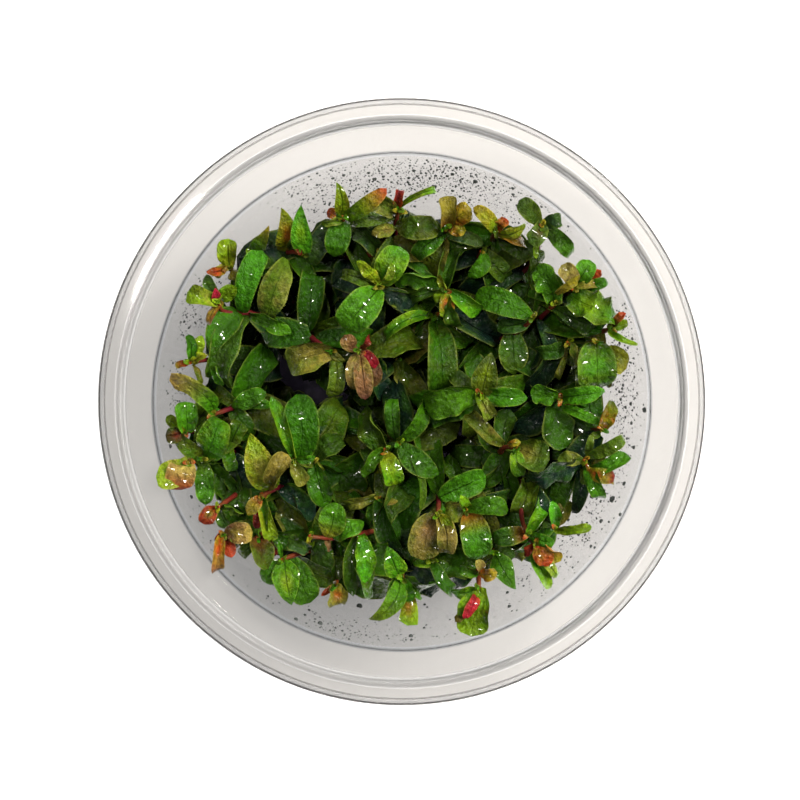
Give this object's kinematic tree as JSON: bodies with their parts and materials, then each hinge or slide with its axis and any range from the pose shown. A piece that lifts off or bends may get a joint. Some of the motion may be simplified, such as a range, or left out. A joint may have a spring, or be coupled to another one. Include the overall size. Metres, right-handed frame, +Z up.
{
  "type": "tissue culture rotala plants in a clear cup",
  "caption": "Round clear cup of tissue-cultured red rotala: thin reddish stems with opposite soft oval leaves, rooted in clear nutrient gel.",
  "frame": {"origin": "centre of the cup's foot, on the surface it stands on", "axes": "+Z up along the cup's axis, +Y towards the top of the picture, +X to its right"},
  "size_m": [0.1006, 0.1006, 0.05],
  "materials": {
    "clear_cup": "clear, faintly milky moulded plastic",
    "nutrient_gel": "wet clear jelly",
    "leaf_lime": "living leaf, yellow-green, wet satin",
    "leaf_green": "living leaf, mid green, wet satin",
    "leaf_wine": "living leaf, dark crimson, wet satin",
    "leaf_dark": "living leaf, dark shaded green, wet satin",
    "leaf_olive": "living leaf, olive, wet satin",
    "leaf_teal": "living leaf, dark blue-green, wet satin",
    "leaf_rust": "living leaf, red-brown, wet satin",
    "leaf_bright": "living leaf, bright fresh green, wet satin",
    "leaf_amber": "living leaf, orange tan, wet satin",
    "leaf_khaki": "living leaf, tan olive, wet satin"
  },
  "bodies": {
    "root": {"clear_cup": "clear_cup", "nutrient_gel": "nutrient_gel", "shoot_01": "leaf_lime", "shoot_02": "leaf_green", "shoot_03": "leaf_lime", "shoot_04": "leaf_lime", "shoot_05": "leaf_wine", "shoot_06": "leaf_dark", "shoot_07": "leaf_lime", "shoot_08": "leaf_lime", "shoot_09": "leaf_olive", "shoot_10": "leaf_green", "shoot_11": "leaf_teal", "shoot_12": "leaf_olive", "shoot_13": "leaf_green", "shoot_14": "leaf_rust", "shoot_15": "leaf_lime", "shoot_16": "leaf_olive", "shoot_17": "leaf_bright", "shoot_18": "leaf_amber", "shoot_19": "leaf_lime", "shoot_20": "leaf_khaki", "shoot_21": "leaf_rust", "shoot_22": "leaf_bright", "shoot_23": "leaf_green", "shoot_24": "leaf_olive", "shoot_25": "leaf_lime", "shoot_26": "leaf_lime", "shoot_27": "leaf_green", "shoot_28": "leaf_lime", "shoot_29": "leaf_bright", "shoot_30": "leaf_green", "shoot_31": "leaf_lime", "shoot_32": "leaf_rust", "shoot_33": "leaf_khaki", "shoot_34": "leaf_bright", "shoot_35": "leaf_green", "shoot_36": "leaf_lime", "shoot_37": "leaf_lime", "shoot_38": "leaf_khaki", "shoot_39": "leaf_rust", "shoot_40": "leaf_lime", "shoot_41": "leaf_bright", "shoot_42": "leaf_khaki", "shoot_43": "leaf_olive", "shoot_44": "leaf_bright", "shoot_45": "leaf_bright", "shoot_46": "leaf_green", "shoot_47": "leaf_khaki", "shoot_48": "leaf_khaki", "shoot_49": "leaf_lime", "shoot_50": "leaf_lime", "shoot_51": "leaf_olive", "shoot_52": "leaf_rust", "shoot_53": "leaf_lime", "shoot_54": "leaf_green"}
  },
  "joints": []
}
